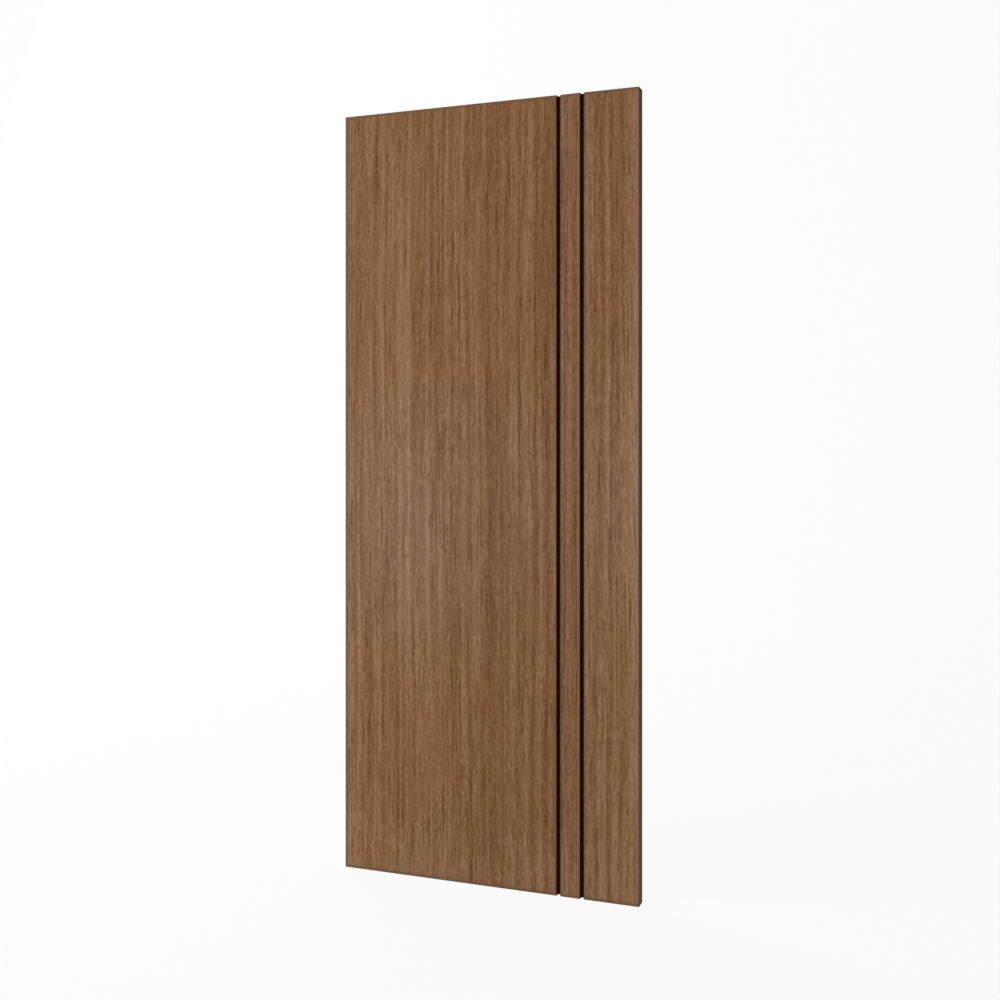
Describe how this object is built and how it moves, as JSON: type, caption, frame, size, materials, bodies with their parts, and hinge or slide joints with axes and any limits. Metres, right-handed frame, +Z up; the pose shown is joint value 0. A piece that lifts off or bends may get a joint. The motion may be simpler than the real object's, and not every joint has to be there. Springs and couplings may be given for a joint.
{
  "type": "interior door leaf",
  "caption": "Flush interior door leaf with wood-grain plastic faces, full-height dark shadow grooves towards the lock side and banded long edges.",
  "frame": {"origin": "on the hinge edge's outer face, at the bottom of the leaf and in the middle of its thickness", "axes": "+X across the leaf from the hinge edge to the lock edge, -Y out of the front face, +Z up"},
  "size_m": [0.8, 0.035, 2],
  "materials": {
    "wood_grain_skin": "foil-wrapped, satin, walnut grain running up the leaf",
    "wood_grain_edge": "satin edge band in a darker walnut",
    "groove_liner": "black, satin",
    "carcass_composite": "extruded wood-plastic composite, sawn ends, unfinished",
    "foam_core": "rigid foam, unfinished"
  },
  "bodies": {
    "root": {"front_skin_wide": "wood_grain_skin", "front_skin_slat": "wood_grain_skin", "front_skin_narrow": "wood_grain_skin", "front_liner_inner": "groove_liner", "front_liner_outer": "groove_liner", "back_skin_wide": "wood_grain_skin", "back_skin_slat": "wood_grain_skin", "back_skin_narrow": "wood_grain_skin", "back_liner_inner": "groove_liner", "back_liner_outer": "groove_liner", "hinge_edge_band": "wood_grain_edge", "lock_edge_band": "wood_grain_edge", "hinge_stile": "carcass_composite", "middle_stile": "carcass_composite", "lock_stile": "carcass_composite", "top_rail_wide": "carcass_composite", "bottom_rail_wide": "carcass_composite", "core_wide": "foam_core", "top_rail_narrow": "carcass_composite", "bottom_rail_narrow": "carcass_composite", "core_narrow": "foam_core"}
  },
  "joints": []
}
